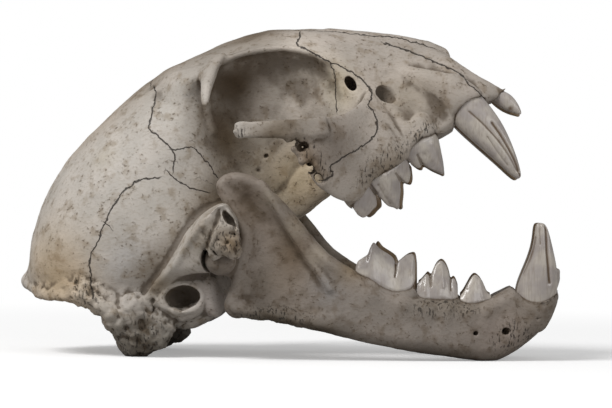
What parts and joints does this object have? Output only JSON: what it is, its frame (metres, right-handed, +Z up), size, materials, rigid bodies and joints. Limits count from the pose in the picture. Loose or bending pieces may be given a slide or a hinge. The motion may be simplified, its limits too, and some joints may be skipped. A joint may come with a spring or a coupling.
{
  "type": "lynx skull",
  "caption": "Dry lynx skull with its lower jaw open on its hinge and all its teeth, the right cheekbone arch broken away.",
  "frame": {"origin": "centre of the bounding box at the surface that the skull stands on", "axes": "+X towards the snout, +Y towards the skull's left side, +Z up"},
  "size_m": [0.1501, 0.0931, 0.0914],
  "materials": {
    "bone": "matt dry bone, cream on the braincase and grey-brown on the face",
    "jaw_bone": "matt dry bone, grey-brown",
    "enamel": "glossy pale tooth enamel"
  },
  "bodies": {
    "cranium": {"cranium": "bone", "upper_incisor_1_right": "enamel", "upper_incisor_2_right": "enamel", "upper_incisor_3_right": "enamel", "upper_canine_right": "enamel", "upper_premolar_3_right": "enamel", "upper_premolar_4_right": "enamel", "upper_molar_1_right": "enamel", "upper_incisor_1_left": "enamel", "upper_incisor_2_left": "enamel", "upper_incisor_3_left": "enamel", "upper_canine_left": "enamel", "upper_premolar_3_left": "enamel", "upper_premolar_4_left": "enamel", "upper_molar_1_left": "enamel"},
    "mandible": {"mandible_right": "jaw_bone", "mandible_left": "jaw_bone", "lower_incisor_1_right": "enamel", "lower_incisor_2_right": "enamel", "lower_incisor_3_right": "enamel", "lower_canine_right": "enamel", "lower_premolar_3_right": "enamel", "lower_premolar_4_right": "enamel", "lower_molar_1_right": "enamel", "lower_incisor_1_left": "enamel", "lower_incisor_2_left": "enamel", "lower_incisor_3_left": "enamel", "lower_canine_left": "enamel", "lower_premolar_3_left": "enamel", "lower_premolar_4_left": "enamel", "lower_molar_1_left": "enamel"}
  },
  "joints": [
    {"name": "jaw", "type": "hinge", "parent": "cranium", "child": "mandible", "pos_m": [-0.0172, -0.0017, 0.0269], "axis": [0, 1, 0], "range_deg": [-20, 30]}
  ]
}
